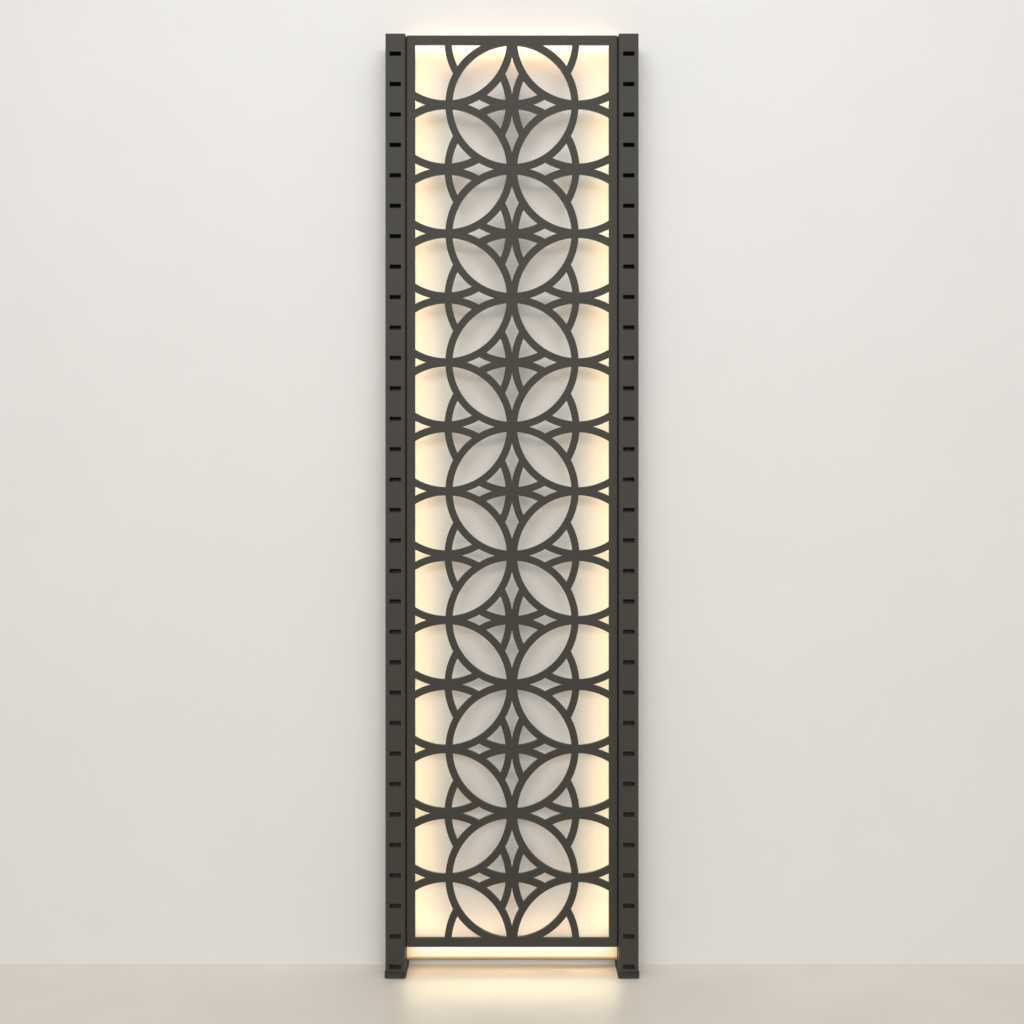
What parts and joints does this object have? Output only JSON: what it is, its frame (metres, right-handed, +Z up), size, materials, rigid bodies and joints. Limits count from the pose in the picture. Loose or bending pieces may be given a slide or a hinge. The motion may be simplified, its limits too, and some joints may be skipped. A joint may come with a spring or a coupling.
{
  "type": "hanging lattice room divider panel",
  "caption": "Backlit lattice panel of overlapping rings that hooks between slotted wall posts, with hidden light channels and a glowing tray below.",
  "frame": {"origin": "on the floor at the middle of the unit's footprint", "axes": "+X to the right along the wall, +Y into the wall, +Z up"},
  "size_m": [0.647, 0.104, 2.4],
  "materials": {
    "post_coat": "fine-textured matt powder coat, warm anthracite",
    "cap_coat": "matt powder coat, warm anthracite",
    "lattice_coat": "fine-textured matt powder coat, warm anthracite",
    "frame_coat": "matt powder coat",
    "tray_coat": "matt powder coat",
    "boot_rubber": "matt moulded rubber",
    "seal_rubber": "matt extruded rubber",
    "zinc_screws": "bright zinc plated",
    "galvanised_steel": "galvanised",
    "bracket_steel": "zinc plated, satin",
    "nylon": "natural nylon",
    "anodised_channel": "satin anodised",
    "led_strip": "flexible circuit strip",
    "opal_cover": "opal acrylic, lit from inside",
    "opal_tray_cover": "opal acrylic, lit from inside",
    "driver_case": "moulded case",
    "terminal_plastic": "moulded",
    "gland_plastic": "moulded nylon",
    "lead_sheath": "soft sheath",
    "channel_end_plastic": "moulded, pale grey",
    "plug_plastic": "moulded nylon, anthracite"
  },
  "bodies": {
    "stand": {"left_post": "post_coat", "right_post": "post_coat", "left_post_cap": "cap_coat", "right_post_cap": "cap_coat", "post_cap_screws": "zinc_screws", "left_foot_boot": "boot_rubber", "right_foot_boot": "boot_rubber", "foot_boot_screws": "zinc_screws", "left_side_seal": "seal_rubber", "right_side_seal": "seal_rubber", "left_wall_clips": "galvanised_steel", "right_wall_clips": "galvanised_steel", "wall_clip_screws": "zinc_screws", "left_hanger_brackets": "bracket_steel", "right_hanger_brackets": "bracket_steel", "hanger_screws": "zinc_screws", "hanger_saddles": "nylon", "top_light_channel": "anodised_channel", "top_light_strip": "led_strip", "top_light_cover": "opal_cover", "top_channel_ends": "channel_end_plastic", "top_light_brackets": "bracket_steel", "top_light_screws": "zinc_screws", "left_light_channel": "anodised_channel", "left_light_strip": "led_strip", "left_light_cover": "opal_cover", "right_light_channel": "anodised_channel", "right_light_strip": "led_strip", "right_light_cover": "opal_cover", "side_channel_ends": "channel_end_plastic", "side_light_screws": "zinc_screws", "light_tray": "tray_coat", "tray_end_plates": "tray_coat", "tray_end_screws": "zinc_screws", "tray_cover": "opal_tray_cover", "tray_light_strip": "led_strip", "led_driver": "driver_case", "terminal_block": "terminal_plastic", "tray_fixing_screws": "zinc_screws", "cable_gland": "gland_plastic", "gland_nut": "gland_plastic", "driver_lead": "lead_sheath", "output_lead": "lead_sheath", "lead_jumpers": "lead_sheath", "upper_lead": "lead_sheath"},
    "panel": {"lattice_plate": "lattice_coat", "left_rear_stile": "frame_coat", "right_rear_stile": "frame_coat", "stile_plugs": "plug_plastic", "top_rear_rail": "frame_coat", "bottom_rear_rail": "frame_coat", "frame_screws": "zinc_screws", "left_hooks": "bracket_steel", "right_hooks": "bracket_steel", "hook_screws": "zinc_screws"}
  },
  "joints": [
    {"name": "panel_lift", "type": "slide", "parent": "stand", "child": "panel", "axis": [0, 0, 1], "range_m": [0, 0.016]}
  ]
}
